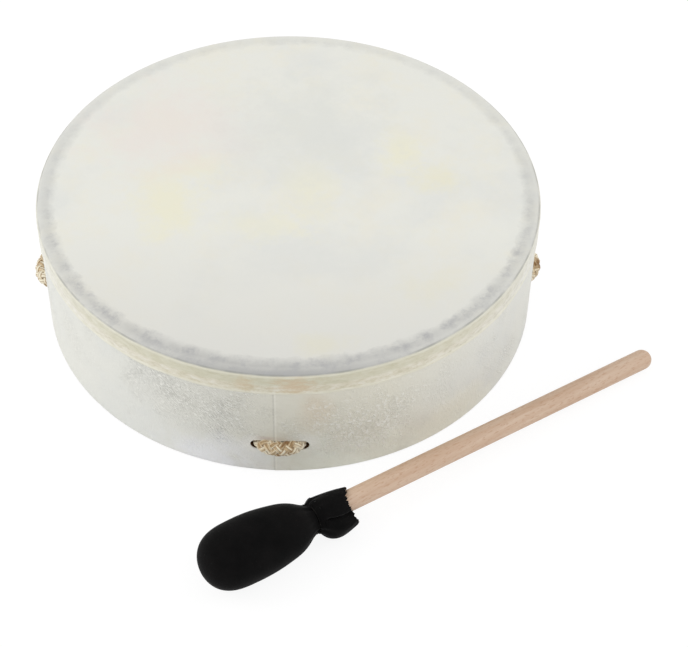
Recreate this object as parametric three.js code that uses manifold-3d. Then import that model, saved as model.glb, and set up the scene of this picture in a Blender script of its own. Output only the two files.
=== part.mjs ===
import * as THREE from "three";
import { mergeVertices } from "three/addons/utils/BufferGeometryUtils.js";
import Module from "manifold-3d";

// A single-headed hand drum with a crossed rope hand-hold, and its padded mallet lying beside it.
// Millimetres, +Z up. The origin is the centre of the playing face.

// Drum body: the head's film is folded down over the wrap, the wrap is glued round the shell
const drumDiameter = 355.6; // over the head's collar, the nominal 14 inch size
const drumDepth = 97; // table to playing face
const filmThickness = 0.5;
const collarDepth = 18.5; // how far the film is folded down over the side
const edgeRadius = 3; // outer round between the playing face and the collar
const wrapThickness = 0.7;
const wrapTopDrop = 1; // the wrap ends this far below the film's round
const wrapFootGap = 0.8; // keeps the wrap's lower edge off the table
const wallThickness = 6.4;
const rimRound = 1; // both edges of the shell's foot
const hoopWidth = 8; // the bearing hoop is glued inside the shell, under the film
const hoopDepth = 14;
const glueLine = 0.3; // room between two layers that are bonded

// The wrap's two ends meet at one upright seam, just beside the front slot's middle
const seamAngle = -91.1; // degrees round from +X
const seamGap = 0.7;

// Rope hand-hold: each rope leaves a slot, turns back outside the wall and returns through the same slot
const leftSlotTurn = 5; // degrees, the left slot stands this far forward of square with the others
const leftBendReach = 60; // the rope to the left slot bends towards it within this distance of the axis
const slotHeight = 27; // table to the slots' middle line
const ropeDiameter = 8;
const ropeClearance = 0.4; // round the rope in its slot
const turnRadius = 15.4; // rope centre line in the turn outside a slot
const turnInset = 12.6; // the turn's centre lies this far inside the drum's outer surface
const hubHalfSpread = 5; // half the distance between a rope's two runs where the ropes cross
const crossGap = 0.8; // between the two ropes where they cross
const ropeEndGap = 0.6; // the rope's two ends meet here, under the lashing
const runSteps = 7;
const turnSteps = 10;
const ropeSides = 8;

// Lashing: two windings of thin cord, one on each diagonal, hold the ropes where they cross
const lashingDiameter = 3.5;
const lashingTurns = 3;
const windingGap = 0.5; // between neighbouring turns
const lashingReach = 24; // from the drum's axis to a winding's upright legs
const lashingHalfHeight = 11.4; // middle line of the inner winding, above and below the slots' middle line
const lashingSquareness = 3; // 2 is an ellipse, higher is squarer
const loopSteps = 24;
const loopSides = 6;

// Mallet, measured along its own axis from the tip of its head
const malletLength = 369;
const handleDiameter = 14.3;
const handleSeat = 18; // where the handle ends inside the head
const handleChamfer = 1;
const headLength = 80.5; // tip to neck
const headRadius = 22; // over the cover
const widestAt = 32.4;
const tipFullness = 3.3; // 2 is an ellipse, higher is blunter
const shoulderFullness = 1.95;
const coverThickness = 1;
const fit = 0.3; // between the handle, the core and the cover
const coreNeckGap = 6.5; // the core stops this far short of the neck
const skirtLength = 25.5; // the cover's loose end, beyond its tie
const skirtSlack = 8.5; // how far the loose end stands off on its slack side
const skirtSlackAngle = -135; // degrees round the axis, from level left to below
const tieDiameter = 1.2;
const tieTurns = 2;

// Where the mallet lies on the table
const malletTip = new THREE.Vector2(-44.6, -278);
const malletHeading = 34.4; // degrees round from +X

// Facets
const drumSides = 72;
const malletSides = 24;
const roundSteps = 3;
const tipSteps = 7;
const shoulderSteps = 7;
const skirtSteps = 5;
const tiltRounds = 6;

// Radii of the layers, worked out from the outside in
const collarRadius = drumDiameter / 2;
const wrapOuter = collarRadius - filmThickness - glueLine;
const wrapInner = wrapOuter - wrapThickness;
const shellOuter = wrapInner - glueLine;
const shellInner = shellOuter - wallThickness;
const hoopOuter = shellInner - glueLine;
const hoopInner = hoopOuter - hoopWidth;
const shellTop = drumDepth - filmThickness - glueLine;
const crossDrop = (ropeDiameter + crossGap) / 2;

const wasm = await Module();
wasm.setup();

function solidOf(geometry) {
  const bare = geometry.clone();
  bare.deleteAttribute("normal");
  bare.deleteAttribute("uv");
  const merged = mergeVertices(bare, 1e-4);
  return new wasm.Manifold(
    new wasm.Mesh({
      numProp: 3,
      vertProperties: merged.attributes.position.array,
      triVerts: new Uint32Array(merged.index.array),
    }),
  );
}

function geometryOf(solid) {
  const mesh = solid.getMesh();
  return new THREE.BufferGeometry()
    .setAttribute("position", new THREE.BufferAttribute(mesh.vertProperties, 3))
    .setIndex(new THREE.BufferAttribute(mesh.triVerts, 1));
}

// Quarter or half round as points [radius, height] about a centre, angles in degrees
function arc(centreRadius, centreHeight, radius, from, to, steps) {
  return Array.from({ length: steps + 1 }, (_, i) => {
    const a = THREE.MathUtils.degToRad(from + ((to - from) * i) / steps);
    return [centreRadius + radius * Math.cos(a), centreHeight + radius * Math.sin(a)];
  });
}

// Turns a profile of [radius, height] points about the upright axis
function turned(profile, sides) {
  const points = profile.map(([radius, height]) => new THREE.Vector2(Math.max(radius, 0), height));
  return new THREE.LatheGeometry(points, sides);
}

function uprightTurned(profile) {
  return turned([...profile, profile[0]], drumSides).rotateX(Math.PI / 2);
}

// A route whose rings stand exactly at its points, so bends can have more of them than straights
class Route extends THREE.CatmullRomCurve3 {
  getPointAt(u, target) {
    return this.getPoint(u, target);
  }
  getTangentAt(u, target) {
    return this.getTangent(u, target);
  }
}

function tubeAlong(points, diameter, sides) {
  const corners = Array.from({ length: sides }, (_, i) => {
    const a = (2 * Math.PI * i) / sides;
    return new THREE.Vector2(Math.cos(a), Math.sin(a)).multiplyScalar(diameter / 2);
  });
  return new THREE.ExtrudeGeometry(new THREE.Shape(corners), {
    steps: points.length - 1,
    extrudePath: new Route(points),
    bevelEnabled: false,
  });
}

// Least gap between a winding's turns, measured on its points half a turn or more apart
function leastGap(points, diameter) {
  let least = Infinity;
  for (let i = 0; i < points.length; i++)
    for (let j = i + loopSteps / 2; j < points.length; j++)
      least = Math.min(least, points[i].distanceTo(points[j]) - diameter);
  return least;
}

// The ends of a winding run on straight for one tube diameter
function withStraightEnds(points, diameter) {
  const ahead = (a, b) => b.clone().sub(a).setLength(diameter).add(b);
  const last = points.length - 1;
  return [ahead(points[1], points[0]), ...points, ahead(points[last - 1], points[last])];
}

// Film of the head: a disc, a round edge and a collar folded down over the wrap
function drumheadGeometry() {
  const centreRadius = collarRadius - edgeRadius;
  const centreHeight = drumDepth - edgeRadius;
  const innerRound = edgeRadius - filmThickness;
  const profile = [
    [0, drumDepth - filmThickness],
    ...arc(centreRadius, centreHeight, innerRound, 90, 0, roundSteps),
    [collarRadius - filmThickness, drumDepth - collarDepth],
    [collarRadius, drumDepth - collarDepth],
    ...arc(centreRadius, centreHeight, edgeRadius, 0, 90, roundSteps),
    [0, drumDepth],
  ];
  return turned(profile, drumSides).rotateX(Math.PI / 2);
}

// Cuts the four rope slots, straight through along the radius
function withSlots(geometry) {
  const halfHeight = ropeDiameter / 2 + ropeClearance;
  const outline = new THREE.Shape();
  outline.absarc(turnRadius, 0, halfHeight, -Math.PI / 2, Math.PI / 2);
  outline.absarc(-turnRadius, 0, halfHeight, Math.PI / 2, (3 * Math.PI) / 2);
  const overrun = 2 * wallThickness;
  const start = shellInner - overrun;
  const cutter = new THREE.ExtrudeGeometry(outline, {
    depth: collarRadius + overrun - start,
    curveSegments: 8,
    bevelEnabled: false,
  });
  let solid = solidOf(geometry);
  for (const degrees of [0, 90, 180 + leftSlotTurn, 270]) {
    const angle = THREE.MathUtils.degToRad(degrees);
    const out = new THREE.Vector3(Math.cos(angle), Math.sin(angle), 0);
    const along = new THREE.Vector3(-Math.sin(angle), Math.cos(angle), 0);
    const place = new THREE.Matrix4()
      .makeBasis(along, new THREE.Vector3(0, 0, 1), out)
      .setPosition(out.x * start, out.y * start, slotHeight);
    solid = solid.subtract(solidOf(cutter.clone().applyMatrix4(place)));
  }
  return geometryOf(solid);
}

// Bent wall of the shell, with a rounded foot and a shoulder that clears the film's round
function shellGeometry() {
  const shoulder = edgeRadius - filmThickness - glueLine;
  return withSlots(
    uprightTurned([
      ...arc(shellInner + rimRound, rimRound, rimRound, 180, 270, roundSteps),
      ...arc(shellOuter - rimRound, rimRound, rimRound, 270, 360, roundSteps),
      ...arc(shellOuter - shoulder, shellTop - shoulder, shoulder, 0, 90, roundSteps),
      [shellInner, shellTop],
    ]),
  );
}

// Sheet bent round the shell, its two ends standing a seam's gap apart
function wrapGeometry() {
  const foot = wrapFootGap;
  const top = drumDepth - edgeRadius - wrapTopDrop;
  const seam = THREE.MathUtils.degToRad(seamAngle);
  const halfGap = seamGap / 2 / wrapOuter;
  const step = (2 * Math.PI) / drumSides;
  const end = seam + 2 * Math.PI;
  const angles = [seam + halfGap];
  const first = Math.ceil((seam + 2 * halfGap) / step) * step;
  for (let a = first; a < end - 2 * halfGap; a += step) angles.push(a);
  angles.push(end - halfGap);
  const ring = (radius) => angles.map((a) => new THREE.Vector2(radius * Math.cos(a), radius * Math.sin(a)));
  const outline = new THREE.Shape([...ring(wrapOuter), ...ring(wrapInner).reverse()]);
  const sheet = new THREE.ExtrudeGeometry(outline, { depth: top - foot, bevelEnabled: false });
  return withSlots(sheet.translate(0, 0, foot));
}

function hoopGeometry() {
  return uprightTurned([
    [hoopInner, shellTop - hoopDepth],
    [hoopOuter, shellTop - hoopDepth],
    [hoopOuter, shellTop],
    ...arc(hoopInner + rimRound, shellTop - rimRound, rimRound, 90, 180, roundSteps),
  ]);
}

// One rope as points: out from the hub along one run, round outside its slot, back through the hub,
// round outside the opposite slot and back to the hub, where its ends meet. The second half turns by bend.
function ropePoints(angle, rise, bend) {
  const turnCentre = collarRadius - turnInset;
  const at = (along, side) => {
    const share = Math.min(Math.abs(along) / turnCentre, 1);
    return new THREE.Vector3(along, side, slotHeight + rise * Math.cos((share * Math.PI) / 2));
  };
  const runPoint = (end, side, share) =>
    at(end * turnCentre * share, side * (hubHalfSpread + (turnRadius - hubHalfSpread) * share));
  const points = [at(ropeEndGap / 2, hubHalfSpread)];
  for (const end of [1, -1]) {
    for (let i = 1; i < runSteps; i++) points.push(runPoint(end, end, i / runSteps));
    for (let i = 0; i <= turnSteps; i++) {
      const a = Math.PI / 2 - (Math.PI * i) / turnSteps;
      points.push(at(end * (turnCentre + turnRadius * Math.cos(a)), end * turnRadius * Math.sin(a)));
    }
    for (let i = runSteps - 1; i > 0; i--) points.push(runPoint(end, -end, i / runSteps));
    if (end > 0) points.push(at(0, -hubHalfSpread));
  }
  points.push(at(-ropeEndGap / 2, hubHalfSpread));
  const up = new THREE.Vector3(0, 0, 1);
  return points.map((p) => {
    const share = THREE.MathUtils.clamp(-p.x / leftBendReach, 0, 1);
    return p.applyAxisAngle(up, angle + bend * share);
  });
}

// One winding as points: squared loops in upright planes along a diagonal, stepping sideways
function lashingPoints(angle, halfHeight) {
  const squared = (value) => Math.sign(value) * Math.abs(value) ** (2 / lashingSquareness);
  const pitch = lashingDiameter + windingGap;
  const points = [];
  for (let i = 0; i <= lashingTurns * loopSteps; i++) {
    const a = (2 * Math.PI * i) / loopSteps - Math.PI / 2;
    const aside = pitch * (i / loopSteps - lashingTurns / 2);
    const height = slotHeight + halfHeight * squared(Math.sin(a));
    points.push(new THREE.Vector3(lashingReach * squared(Math.cos(a)), aside, height));
  }
  const turn = new THREE.Vector3(0, 0, 1);
  return withStraightEnds(points, lashingDiameter).map((p) => p.applyAxisAngle(turn, angle));
}

// Mallet sizes that follow from its own: the neck hugs the handle, and the tie sits on it
const handleRadius = handleDiameter / 2;
const neckRadius = handleRadius + fit + coverThickness;
const tiePitch = tieDiameter + windingGap;
const neckWidth = tieTurns * tiePitch + tieDiameter;
const shoulderLength =
  (headLength - widestAt) / (1 - (neckRadius / headRadius) ** 2) ** (1 / shoulderFullness);

// Height of the tip over the table when the head's underside touches it, for a given tilt of the axis
const outerLine = headLine(0, neckRadius);
const tipHeightAt = (tilt) =>
  Math.max(...outerLine.map(([radius, along]) => radius * Math.cos(tilt) + along * Math.sin(tilt)));

// The handle's round end touches the table too, which settles the tilt in a few rounds
let malletTilt = 0;
for (let i = 0; i < tiltRounds; i++)
  malletTilt = Math.asin((tipHeightAt(malletTilt) - handleRadius) / (malletLength - handleRadius));

// Blunt egg of the head as [radius, distance from the tip] points, inset from the cover's outside,
// from the tip to where the shoulder has come down to endRadius
function headLine(inset, endRadius) {
  const radius = headRadius - inset;
  const line = [];
  for (let i = 0; i <= tipSteps; i++) {
    const a = (Math.PI / 2) * (1 - i / tipSteps);
    const short = (widestAt - inset) * Math.sin(a) ** (2 / tipFullness);
    line.push([radius * Math.cos(a), widestAt - short]);
  }
  const endAngle = Math.acos(endRadius / radius);
  for (let i = 1; i <= shoulderSteps; i++) {
    const a = (endAngle * i) / shoulderSteps;
    line.push([radius * Math.cos(a), widestAt + shoulderLength * Math.sin(a) ** (2 / shoulderFullness)]);
  }
  return line;
}

function handleGeometry() {
  const profile = [
    [0, handleSeat],
    [handleRadius - handleChamfer, handleSeat],
    [handleRadius, handleSeat + handleChamfer],
    ...arc(0, malletLength - handleRadius, handleRadius, 0, 90, 2 * roundSteps),
  ];
  return turned(profile, malletSides).rotateZ(-Math.PI / 2);
}

// Stuffed core, with a blind bore for the handle
function coreGeometry() {
  const inset = coverThickness + fit;
  const share = (headLength - coreNeckGap - widestAt) / shoulderLength;
  const endRadius = (headRadius - inset) * Math.sqrt(1 - share ** shoulderFullness);
  const boreRadius = handleRadius + fit;
  const profile = [
    ...headLine(inset, endRadius),
    [boreRadius, headLength - coreNeckGap],
    [boreRadius, handleSeat - fit],
    [0, handleSeat - fit],
  ];
  return turned(profile, malletSides).rotateZ(-Math.PI / 2);
}

// One face of the bag as rings from the tip to the open end; past the neck the rings stand off on one side
function bagRings(inset) {
  const rings = headLine(inset, neckRadius - inset).map(([radius, along]) => ({ radius, along, slack: 0 }));
  const neckEnd = headLength + neckWidth;
  rings.push({ radius: neckRadius - inset, along: neckEnd, slack: 0 });
  for (let i = 1; i <= skirtSteps; i++) {
    const share = i / skirtSteps;
    const slack = skirtSlack * (1 - (1 - share) ** 4);
    rings.push({ radius: neckRadius - inset, along: neckEnd + skirtLength * share, slack });
  }
  return rings;
}

// Bag of the cover: its outer face, the rim of the open end, and its inner face back to the tip
function coverGeometry() {
  const rings = [...bagRings(0), ...bagRings(coverThickness).reverse()];
  const poles = [rings.shift(), rings.pop()];
  const slackAngle = THREE.MathUtils.degToRad(skirtSlackAngle);
  const position = poles.flatMap(({ along }) => [along, 0, 0]);
  for (const { radius, along, slack } of rings)
    for (let j = 0; j < malletSides; j++) {
      const a = (2 * Math.PI * j) / malletSides;
      const r = radius + (slack * (1 + Math.cos(a - slackAngle))) / 2;
      position.push(along, r * Math.cos(a), r * Math.sin(a));
    }
  const vertex = (i, j) => poles.length + i * malletSides + (j % malletSides);
  const index = [];
  for (let j = 0; j < malletSides; j++) {
    index.push(0, vertex(0, j + 1), vertex(0, j));
    for (let i = 0; i < rings.length - 1; i++) {
      index.push(vertex(i, j), vertex(i, j + 1), vertex(i + 1, j));
      index.push(vertex(i, j + 1), vertex(i + 1, j + 1), vertex(i + 1, j));
    }
    index.push(1, vertex(rings.length - 1, j), vertex(rings.length - 1, j + 1));
  }
  return new THREE.BufferGeometry()
    .setAttribute("position", new THREE.Float32BufferAttribute(position, 3))
    .setIndex(index);
}

// Tie: turns of thin cord round the neck
function tiePoints() {
  const radius = neckRadius + fit + tieDiameter / 2;
  const points = [];
  for (let i = 0; i <= tieTurns * loopSteps; i++) {
    const a = (2 * Math.PI * i) / loopSteps;
    const along = headLength + tieDiameter + tiePitch * (i / loopSteps);
    points.push(new THREE.Vector3(along, radius * Math.cos(a), radius * Math.sin(a)));
  }
  return withStraightEnds(points, tieDiameter);
}

function piece(name, geometry, color, roughness) {
  const mesh = new THREE.Mesh(geometry, new THREE.MeshStandardMaterial({ color, roughness, metalness: 0 }));
  mesh.name = name;
  return mesh;
}

const inner = lashingPoints(Math.PI / 4, lashingHalfHeight);
const outer = lashingPoints(-Math.PI / 4, lashingHalfHeight + lashingDiameter + windingGap);
const tie = tiePoints();
console.log("least gap between turns, lashing", leastGap(inner, lashingDiameter).toFixed(2), "mm");
console.log("least gap between turns, tie", leastGap(tie, tieDiameter).toFixed(2), "mm");

const leftBend = THREE.MathUtils.degToRad(leftSlotTurn);
const ropeRun = (angle, rise, bend) => tubeAlong(ropePoints(angle, rise, bend), ropeDiameter, ropeSides);
const winding = (points, diameter) => tubeAlong(points, diameter, loopSides);

const drum = new THREE.Group();
drum.add(
  piece("drumhead", drumheadGeometry(), 0xe2e3dc, 0.45),
  piece("shell", shellGeometry(), 0x5b4330, 0.85),
  piece("shell_wrap", wrapGeometry(), 0xc8cac2, 0.7),
  piece("bearing_hoop", hoopGeometry(), 0x8d8a80, 0.8),
  piece("rope_front_back", ropeRun(Math.PI / 2, -crossDrop, 0), 0xc9ad8a, 0.95),
  piece("rope_left_right", ropeRun(0, crossDrop, leftBend), 0xc9ad8a, 0.95),
  piece("hub_lashing_inner", winding(inner, lashingDiameter), 0xbfa27c, 0.95),
  piece("hub_lashing_outer", winding(outer, lashingDiameter), 0xbfa27c, 0.95),
);

const mallet = new THREE.Group();
mallet.add(
  piece("mallet_handle", handleGeometry(), 0xcfb096, 0.6),
  piece("mallet_core", coreGeometry(), 0xb9b4a6, 0.95),
  piece("mallet_cover", coverGeometry(), 0x1a1a1a, 0.9),
  piece("mallet_tie", winding(tie, tieDiameter), 0x77746c, 0.8),
);
mallet.position.set(malletTip.x, malletTip.y, tipHeightAt(malletTilt));
mallet.rotation.set(0, malletTilt, THREE.MathUtils.degToRad(malletHeading), "ZYX");

// Heights above are measured from the table; the origin is the playing face
const set = new THREE.Group();
set.add(drum, mallet);
set.position.z = -drumDepth;

export default set;
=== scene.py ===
"""Looks of a hand drum with a crossed rope hand-hold, and of the padded mallet that lies in front of it.

The frame's origin is the centre of the playing face, +Z out of it. Sizes here are in millimetres, and
MM turns them into Blender's metres.
"""

import math

import bmesh
import bpy
import numpy as np
from mathutils import Matrix, Vector


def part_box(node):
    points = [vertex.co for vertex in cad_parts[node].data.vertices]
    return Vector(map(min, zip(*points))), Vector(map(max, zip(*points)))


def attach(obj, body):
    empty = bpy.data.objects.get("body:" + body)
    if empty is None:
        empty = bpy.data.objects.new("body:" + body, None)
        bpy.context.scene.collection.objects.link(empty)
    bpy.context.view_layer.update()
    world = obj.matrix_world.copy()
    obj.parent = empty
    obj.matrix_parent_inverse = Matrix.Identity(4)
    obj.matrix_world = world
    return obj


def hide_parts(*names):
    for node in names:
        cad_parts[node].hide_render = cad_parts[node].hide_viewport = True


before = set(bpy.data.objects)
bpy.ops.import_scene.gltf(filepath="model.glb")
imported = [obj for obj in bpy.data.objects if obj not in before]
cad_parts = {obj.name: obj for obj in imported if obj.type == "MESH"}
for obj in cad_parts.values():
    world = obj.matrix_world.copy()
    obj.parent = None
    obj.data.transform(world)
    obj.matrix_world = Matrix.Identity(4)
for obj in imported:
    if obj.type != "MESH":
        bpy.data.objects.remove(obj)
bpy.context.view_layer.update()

MM = 0.001

# Sizes read from the frame
(head_low, head_high), (shell_low, shell_high), (hoop_low, hoop_high), (wrap_low, wrap_high) = (
    np.array(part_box(name)) / MM for name in ("drumhead", "shell", "bearing_hoop", "shell_wrap")
)
COLLAR_RADIUS = (head_high[0] - head_low[0]) / 2
COLLAR_LOW = head_low[2]
SHELL_RADIUS = (shell_high[0] - shell_low[0]) / 2
HOOP_RADIUS = (hoop_high[0] - hoop_low[0]) / 2
WRAP_RADIUS = (wrap_high[0] - wrap_low[0]) / 2
TABLE = shell_low[2]

# Drum
FILM = 0.5
FACE_EDGE = 3.0  # the film turns down over this width
WRAP = 0.7
WALL = 6.4
HOOP_WIDTH = 8.0
CORNER = 1.0
SEAM = math.radians(-91.1)
SEAM_LAP = 5.0  # how far back from its edge the wrap's upper end lifts over the lower one
SEAM_LIFT = 0.3

# Rope hand-hold
SLOTS = np.radians([0, 90, 185, 270])  # the left one sits 5 degrees forward of square
SLOT_HEIGHT = TABLE + 27.0
SLOT_HALF = 4.4
SLOT_MARGIN = math.radians(8)  # from a slot's middle to the plain wall's first column
ROPE = 8.0
TURN_RADIUS = 15.4
TURN_INSET = 12.6
TURN_SWELL = 1.2
TURN_LIFT = 0.9
RIGHT_TURN_INSET = 1.7  # the right turn is pulled in by this much more
TURN_BLUNTNESS = 0.65  # below 1 the rope stands out of its slot over more of its width
LEFT_BEND = math.radians(5)
LEFT_BEND_REACH = 60.0
HUB_SPREAD = 5.0
CROSS_RISE = 4.4
ROPE_END_GAP = 0.6
LASHING = 3.5
LASHING_TURNS = 3
LASHING_PITCH = 4.0
LASHING_REACH = 24.0
INNER_LASHING = 11.4  # half heights
OUTER_LASHING = INNER_LASHING + LASHING_PITCH
LASHING_SQUARENESS = 3.0

# Mallet, measured along its axis from the tip of the head
MALLET_LENGTH = 369.0
HANDLE_RADIUS = 7.15
HANDLE_SEAT = 18.0
HEAD_LENGTH = 80.5
HEAD_RADIUS = 22.0
WIDEST = 32.4
TIP_FULLNESS = 3.3
SHOULDER_FULLNESS = 1.95
HEAD_ASIDE = 0.6  # the stuffed end sits a little off the stick's line
SUEDE = 1.0
FIT = 0.3
NECK_RADIUS = HANDLE_RADIUS + FIT + SUEDE
TIE = 1.2
TIE_TURNS = 2
TIE_START = math.radians(-145)
TIE_PITCH = 1.7
NECK_WIDTH = TIE_TURNS * TIE_PITCH + TIE
NECK_END = HEAD_LENGTH + NECK_WIDTH
SKIRT = 25.5
SKIRT_SLACK = 8.5
SKIRT_SLACK_ANGLE = math.radians(-135)
SHOULDER_PLEATS = 26.0  # how far the pleats reach from the neck, here and on the loose end
SKIRT_PLEATS = 14.0
BILLOW = 3.8
BILLOW_REACH = 27.0
CREASE_ANGLE = math.radians(150)
CREASE_TURN = math.radians(24)
CREASE_DEPTH = 4.2
SHORT_SIDE_ANGLE = math.radians(128.7)
MALLET_TIP = (-44.6, -278.0)
MALLET_HEADING = math.radians(34.4)

# Camera of the photograph, found by fitting the drum's outline; the picture is 688 x 647
PICTURE_WIDTH = 688
FOCAL_PIXELS = 1783.06
CAMERA_PLACE = (43.871, -936.155, 848.375)
CAMERA_TURN = math.radians(0.2)
CAMERA_ELEVATION = math.radians(46.4587)
CAMERA_ROLL = math.radians(1.1114)


def srgb(code):
    """Linear RGBA of an sRGB hex colour."""
    value = np.array([int(code[i : i + 2], 16) for i in (1, 3, 5)]) / 255
    linear = np.where(value <= 0.04045, value / 12.92, ((value + 0.055) / 1.055) ** 2.4)
    return (*linear.tolist(), 1.0)


def node(tree, kind, inputs=(), output=0, stops=(), **settings):
    """Adds a node, sets its properties, fills or links its inputs, and returns one of its outputs.

    kind is Blender's name of it without the first word, ShaderNode. inputs are the first inputs in order,
    or a dict by number or name; a hex code among them is a colour. stops are the (position, hex code)
    pairs of a colour ramp.
    """
    made = tree.nodes.new("ShaderNode" + kind)
    for name, value in settings.items():
        setattr(made, name, value)
    for name, value in (inputs if isinstance(inputs, dict) else dict(enumerate(inputs))).items():
        if isinstance(value, bpy.types.NodeSocket):
            tree.links.new(value, made.inputs[name])
        else:
            made.inputs[name].default_value = srgb(value) if isinstance(value, str) else value
    for count, (position, code) in enumerate(stops):
        elements = made.color_ramp.elements
        element = elements[count] if count < 2 else elements.new(position)
        element.position, element.color = position, srgb(code)
    return made.outputs[output]


def new_material(name, **sockets):
    """A Principled material with its own sockets set; returns it, its tree and Object coordinates."""
    made = bpy.data.materials.new(name)
    made.use_nodes = True
    tree = made.node_tree
    for socket, value in sockets.items():
        tree.nodes["Principled BSDF"].inputs[socket.replace("_", " ")].default_value = value
    return made, tree, node(tree, "TexCoord", output=3)


def layered(tree, colour, layers):
    """Lays (share, colour) pairs over a colour in turn; a colour is a hex code or a socket."""
    for share, over in layers:
        colour = node(tree, "Mix", {0: share, 6: colour, 7: over}, 2, data_type="RGBA")
    return colour


def finish_material(made, colour, height=None, strength=0, distance=0):
    """Links a material's colour and a bump of the height, its distance in metres."""
    tree = made.node_tree
    shader = tree.nodes["Principled BSDF"]
    tree.links.new(colour, shader.inputs["Base Color"])
    if height is not None:
        bump = node(tree, "Bump", {"Height": height, "Strength": strength, "Distance": distance})
        tree.links.new(bump, shader.inputs["Normal"])
    return made


# Objects

def put(name, data):
    """Adds an object to the scene."""
    made = bpy.data.objects.new(name, data)
    bpy.context.scene.collection.objects.link(made)
    return made


def make_camera():
    """The photograph's camera: level along +Y, turned and rolled a little and tilted down."""
    data = bpy.data.cameras.new("camera")
    data.lens = FOCAL_PIXELS / PICTURE_WIDTH * data.sensor_width
    data.clip_end = 20
    camera = put("camera", data)
    tilt = Matrix.Rotation(math.pi / 2 - CAMERA_ELEVATION, 4, "X")
    roll = Matrix.Rotation(CAMERA_ROLL, 4, "Z")
    turn = Matrix.Rotation(CAMERA_TURN, 4, "Z")
    camera.matrix_world = Matrix.Translation(Vector(CAMERA_PLACE) * MM) @ turn @ tilt @ roll
    bpy.context.scene.camera = camera


make_camera()


# Meshes from grids

def circle(count):
    """Angles of even steps round a full turn."""
    return np.linspace(0, 2 * np.pi, count, endpoint=False)


def unit(vectors):
    """Vectors brought to length 1."""
    return vectors / np.linalg.norm(vectors, axis=-1, keepdims=True)


def grid_quads(rows, columns, wrap, scale):
    """Corner numbers of a grid's quads, and their loop coordinates.

    The last column is joined to the first where wrap is true. u runs down the rows and v across the
    columns, times scale.
    """
    across = np.arange(columns if wrap else columns - 1)
    row, column = (a.ravel() for a in np.meshgrid(np.arange(rows - 1), across, indexing="ij"))
    steps = ((0, 0), (0, 1), (1, 1), (1, 0))
    quads = [(row + r) * columns + (column + c) % columns for r, c in steps]
    loops = [np.stack([(row + r) * scale[0], (column + c) * scale[1]], axis=1) for r, c in steps]
    return np.stack(quads, axis=1), np.stack(loops, axis=1)


def make_piece(name, grids, body, replaced, material, sharp=40, marks=None):
    """One piece from grids of (points, wrap, uv scale) or (points, wrap, uv scale, kept quads), in mm.

    Doubled points, such as a pole's or a seam's, are welded, and the faces are turned outwards.
    marks is a named value for each point.
    """
    points, faces, uvs, start = [], [], [], 0
    for grid, wrap, scale, *kept in grids:
        rows, columns = grid.shape[:2]
        quads, loops = grid_quads(rows, columns, wrap, scale)
        if kept:
            quads, loops = quads[kept[0]], loops[kept[0]]
        points.append(grid.reshape(-1, 3))
        faces.append(quads + start)
        uvs.append(loops)
        start += rows * columns
    mesh = bpy.data.meshes.new(name)
    mesh.from_pydata(np.concatenate(points) * MM, [], np.concatenate(faces).tolist())
    mesh.uv_layers.new(name="UVMap").data.foreach_set("uv", np.concatenate(uvs).ravel())
    for mark, values in (marks or {}).items():
        mesh.attributes.new(mark, "FLOAT", "POINT").data.foreach_set("value", values.ravel())
    shape = bmesh.new()
    shape.from_mesh(mesh)
    bmesh.ops.remove_doubles(shape, verts=shape.verts, dist=2e-6)
    bmesh.ops.recalc_face_normals(shape, faces=shape.faces)
    shape.to_mesh(mesh)
    shape.free()
    mesh.shade_smooth()
    mesh.set_sharp_from_angle(angle=math.radians(sharp))
    mesh.materials.append(material)
    piece = put(name, mesh)
    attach(piece, body)
    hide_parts(replaced)
    return piece


def ripple(angle, seed, waves=(3, 40), power=0.5):
    """Smooth wander round a closed ring, about -1 to 1: a sum of sines with seeded phases."""
    rng = np.random.default_rng(seed)
    counts = np.arange(*waves)
    weights = rng.uniform(0.4, 1, counts.size) / counts**power
    phases = rng.uniform(0, 2 * np.pi, counts.size)
    total = (weights * np.sin(np.outer(angle, counts) + phases)).sum(1)
    return total / np.sqrt((weights**2).sum())


def round_corner(centre, radius, start, end, steps=4):
    """Points of an arc in a profile, angles in degrees."""
    a = np.radians(np.linspace(start, end, steps + 1))
    return np.c_[centre[0] + radius * np.cos(a), centre[1] + radius * np.sin(a)]


def carried_round(profile, angles):
    """A profile's two columns as two grids, with a column for each angle."""
    return np.repeat(np.transpose(profile)[..., None], angles.size, axis=2)


def turned(profile, angles):
    """Grid of a [radius, height] profile carried round the upright axis."""
    radius, height = carried_round(profile, angles)
    return np.stack([radius * np.cos(angles), radius * np.sin(angles), height], axis=2)


# Materials

# Stains, and on the wrap also painted light and a painted shadow: middle and half size in mm, colour,
# share
FACE_STAINS = (
    ((-84, -16, 0), (28, 44, 50), "#edead2", 0.8),
    ((-62, 20, 0), (22, 20, 50), "#edead2", 0.6),
    ((78, 42, 0), (20, 26, 50), "#edead3", 0.8),
    ((104, 15, 0), (22, 20, 50), "#ebe7ce", 0.7),
    ((15, 0, 0), (26, 40, 50), "#edead3", 0.6),
    ((-18, -38, 0), (34, 16, 50), "#edead3", 0.5),
    ((100, -94, 0), (26, 18, 50), "#e6e2cb", 0.4),
    ((30, -149, 0), (20, 13, 50), "#e2dec6", 0.45),
    ((-88, 62, 0), (66, 56, 50), "#ebe3dc", 0.7),
    ((10, 70, 0), (60, 60, 50), "#e0e1db", 0.7),
)
COLLAR_STAINS = (
    ((10, -177, -9), (16, 30, 10), "#d8b994", 0.5),
    ((-22, -176, -9), (8, 30, 8), "#d4bb95", 0.45),
)
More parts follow.
